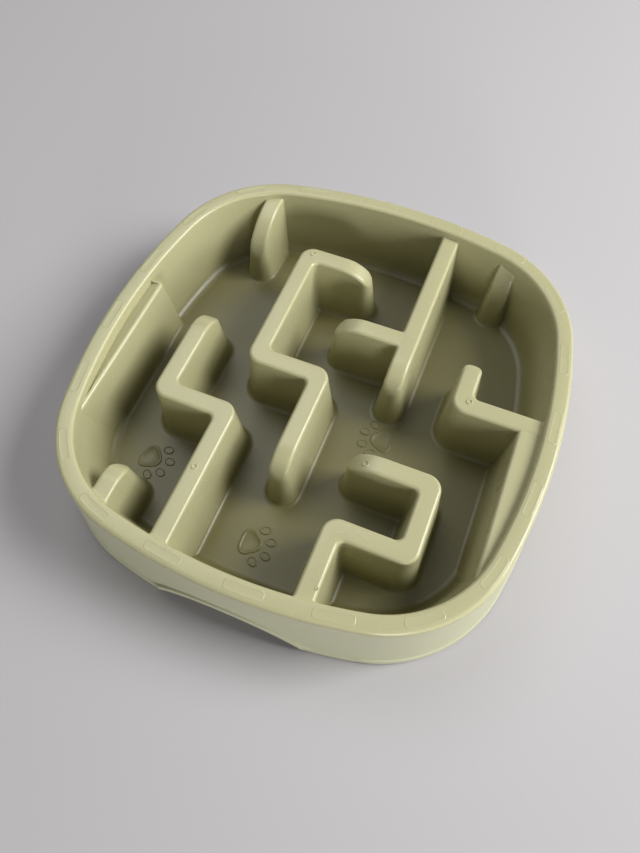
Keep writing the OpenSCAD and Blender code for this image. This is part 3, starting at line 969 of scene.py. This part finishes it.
def blob(length, width, lobes, size, steps=36):
    """The outline of a pad or a toe: an oval with soft lobes."""
    outline = []
    for k in range(steps):
        angle = 2 * math.pi * k / steps
        radius = size * (1 + lobes * math.cos(3 * angle))
        outline.append(Vector((length / 2 * radius * math.cos(angle),
                               width / 2 * radius * math.sin(angle))))
    return outline


def add_paw_print(bm, middle, turn):
    """A pad with four toes, raised from the floor, with its toes pointing at an angle."""
    parts = [(Vector((0, 0)), 0, *pad, pad_lobes)]
    parts += [(Vector((x, y)) * mm, tilt, *toe, 0) for x, y, tilt in toe_places]
    for place, tilt, length, width, lobes in parts:
        outlines = []
        for size, rise in paw_levels:
            outline = [place + rotated(point, tilt) for point in blob(length, width, lobes, size)]
            spots = [middle + rotated(point, turn) for point in outline]
            outlines.append([Vector((spot.x, spot.y, floor_top + rise * mm)) for spot in spots])
        add_mark(bm, outlines)


for x, y, turn in paw_places:
    add_paw_print(marks, Vector((x, y)) * mm, turn)

# Radius and rise of a pin mark's outlines, in millimetres.
pin_levels = ((1.7, -0.05), (1.6, 0.2), (1.45, 0.42), (1.25, 0.42), (1.1, 0.25), (1.05, 0.01))
pin_sides = 36
# The rib that carries each pin mark, its place in millimetres, and its size.
pin_places = (
    ("rib_left", -38.3, -73.7, 1), ("rib_side", 76.5, 11, 1), ("rib_centre", -35.3, 72.7, 1),
    ("rib_front", 38.9, -40.2, 1), ("rib_front", 39.6, -106.3, 0.55),
)


def top_height(rib, point):
    """The height of a rib's top at a point, where its nose falls away."""
    tip, before = rib["path"][-1], rib["path"][-2]
    ahead = (tip - before).normalized()
    if abs((tip - point).cross(ahead)) > rib_half_width:
        return rib_top
    back = (tip - point).dot(ahead)
    return floor_top + (rib_top - floor_top) * height_share(back, rib["nose"], rib_top, floor_top)


for rib_name, x, y, size in pin_places:
    outlines = []
    for radius, rise in pin_levels:
        outline = []
        last_angle = 360 - 360 / pin_sides
        for a, b in arc((x * mm, y * mm), radius * size * mm, 0, last_angle, pin_sides - 1):
            height = top_height(maze[rib_name], Vector((a, b))) + rise * size * mm
            outline.append(Vector((a, b, height)))
        outlines.append(outline)
    add_mark(marks, outlines)
finished(marks, "raised_marks", bowl_plastic, "bowl_plastic")

# The feet: four round pads of black rubber, each pushed into a moulded socket under the floor
# and ringed by fine grooves where it meets the table.
foot_x = 91 * mm
foot_y = 68 * mm
foot_places = {
    "foot_front_left": (-foot_x, -foot_y), "foot_back_left": (-foot_x, foot_y),
    "foot_front_right": (foot_x, -foot_y), "foot_back_right": (foot_x, foot_y),
}
# Radius and height down each section, in millimetres.
foot_section = ((0.4, 0.35), (1.6, 0.35), (1.9, 0.05), (2.4, 0), (2.9, 0.05), (3.1, 0.35),
                (3.5, 0.35), (3.7, 0.05), (4.2, 0), (5.0, 0), (5.5, 0.13), (5.87, 0.5),
                (6.0, 1.0), (6.0, 5.3))
socket_section = ((6.2, 5.6), (6.2, 2.5), (6.45, 2.1), (6.9, 2.0), (7.5, 2.0), (7.95, 2.1),
                  (8.2, 2.5), (8.2, 4.6), (8.5, 5.2), (9.1, 5.55))
rubber_dark = (0.02, 0.02, 0.019, 1)
rubber_dusty = (0.045, 0.044, 0.04, 1)
rubber_grain_scale = 900
rubber_grain_strength = 0.3
rubber_grain_depth = 0.05 * mm
rubber_roughness = 0.75

rubber = bpy.data.materials.new("foot_rubber")
rubber.use_nodes = True
rubber_nodes = rubber.node_tree.nodes
rubber_link = rubber.node_tree.links.new
rubber_shader = rubber_nodes["Principled BSDF"]
rubber_place = rubber_nodes.new("ShaderNodeTexCoord")
rubber_grain = rubber_nodes.new("ShaderNodeTexNoise")
rubber_grain.inputs["Scale"].default_value = rubber_grain_scale
rubber_link(rubber_place.outputs["Object"], rubber_grain.inputs["Vector"])
rubber_tone = rubber_nodes.new("ShaderNodeMix")
rubber_tone.data_type = "RGBA"
rubber_tone.inputs[6].default_value = rubber_dark
rubber_tone.inputs[7].default_value = rubber_dusty
rubber_link(rubber_grain.outputs["Fac"], rubber_tone.inputs["Factor"])
rubber_link(rubber_tone.outputs[2], rubber_shader.inputs["Base Color"])
rubber_bump = rubber_nodes.new("ShaderNodeBump")
rubber_bump.inputs["Strength"].default_value = rubber_grain_strength
rubber_bump.inputs["Distance"].default_value = rubber_grain_depth
rubber_link(rubber_grain.outputs["Fac"], rubber_bump.inputs["Height"])
rubber_link(rubber_bump.outputs["Normal"], rubber_shader.inputs["Normal"])
rubber_shader.inputs["Roughness"].default_value = rubber_roughness


def turned_rows(section, middle, steps=48):
    """Rows of points round an upright axis, from radius and height in millimetres."""
    angles = [2 * math.pi * k / steps for k in range(steps)]
    return [[Vector((middle.x + radius * mm * math.cos(a), middle.y + radius * mm * math.sin(a),
                     height * mm)) for a in angles] for radius, height in section]


sockets = bmesh.new()
for foot_name, foot_place in foot_places.items():
    middle = Vector(foot_place)
    foot = bmesh.new()
    made = add_sheet(foot, turned_rows(foot_section, middle), closed=True)
    foot.faces.new(made[0])
    foot.faces.new(made[-1])
    finished(foot, foot_name + "_looks", rubber, "foot_rubber", foot_name)
    add_sheet(sockets, turned_rows(socket_section, middle), closed=True)
finished(sockets, "foot_sockets", bowl_plastic, "bowl_plastic")

# The stage, which is no part of the bowl: a plain pale floor, three soft lamps, a pale world
# that the camera and the gloss see brighter than it lights, and the camera at the photo's angle.
floor_half_size = 6
floor_colour = (0.50, 0.485, 0.495, 1)
floor_roughness = 0.8
world_light = 0.14
world_seen = 0.4

floor_mesh = bmesh.new()
bmesh.ops.create_grid(floor_mesh, x_segments=1, y_segments=1, size=floor_half_size)
floor_data = bpy.data.meshes.new("stage_floor")
floor_mesh.to_mesh(floor_data)
floor_mesh.free()
stage_floor = bpy.data.objects.new("stage_floor", floor_data)
bpy.context.scene.collection.objects.link(stage_floor)
pale = bpy.data.materials.new("pale_floor")
pale.use_nodes = True
pale_shader = pale.node_tree.nodes["Principled BSDF"]
pale_shader.inputs["Base Color"].default_value = floor_colour
pale_shader.inputs["Roughness"].default_value = floor_roughness
floor_data.materials.append(pale)


def soft_lamp(name, place, aim, size, power):
    """A square soft box that faces a point."""
    data = bpy.data.lights.new(name, "AREA")
    data.size = size
    data.energy = power
    lamp = bpy.data.objects.new(name, data)
    lamp.location = place
    lamp.rotation_euler = (Vector(aim) - Vector(place)).to_track_quat("-Z", "Y").to_euler()
    bpy.context.scene.collection.objects.link(lamp)


soft_lamp("right_lamp", place=(1.2, 0.45, 1.05), aim=(0, 0, 0), size=0.8, power=31)
soft_lamp("sky_lamp", place=(-0.55, 0.5, 1.3), aim=(0, 0, 0), size=0.9, power=6)
soft_lamp("front_lamp", place=(0.8, -1.4, 0.27), aim=(0, -0.1, 0), size=0.4, power=10)

world = bpy.context.scene.world or bpy.data.worlds.new("studio")
bpy.context.scene.world = world
world.use_nodes = True
world_nodes = world.node_tree.nodes
world_link = world.node_tree.links.new
background = world_nodes["Background"]
background.inputs["Color"].default_value = (1, 1, 1, 1)
seen = world_nodes.new("ShaderNodeLightPath")
brightness = world_nodes.new("ShaderNodeMapRange")
brightness.inputs["To Min"].default_value = world_light
brightness.inputs["To Max"].default_value = world_seen
shown = seen.outputs["Is Camera Ray"]
for ray in ("Is Glossy Ray", "Is Transmission Ray"):
    either = world_nodes.new("ShaderNodeMath")
    either.operation = "MAXIMUM"
    world_link(shown, either.inputs[0])
    world_link(seen.outputs[ray], either.inputs[1])
    shown = either.outputs["Value"]
world_link(shown, brightness.inputs["Value"])
world_link(brightness.outputs["Result"], background.inputs["Strength"])

camera_data = bpy.data.cameras.new("camera")
camera_data.lens = 26.91
camera_data.sensor_width = 36
camera_data.clip_start = 1 * mm
camera = bpy.data.objects.new("camera", camera_data)
bpy.context.scene.collection.objects.link(camera)
bpy.context.scene.camera = camera
view_turn = math.radians(23.144)
view_height = math.radians(63.21)
view_roll = math.radians(-1.221)
view_distance = 317.13 * mm
view_target = Vector((11.39, -32.40, 50)) * mm
right = Vector((math.cos(view_turn), math.sin(view_turn), 0))
back = Vector((math.sin(view_turn) * math.cos(view_height),
               -math.cos(view_turn) * math.cos(view_height),
               math.sin(view_height)))
up = back.cross(right)
rolled_right = right * math.cos(view_roll) + up * math.sin(view_roll)
rolled_up = up * math.cos(view_roll) - right * math.sin(view_roll)
axes = Matrix((rolled_right, rolled_up, back)).transposed().to_4x4()
camera.matrix_world = Matrix.Translation(view_target + back * view_distance) @ axes

bpy.context.scene.view_settings.view_transform = "Standard"
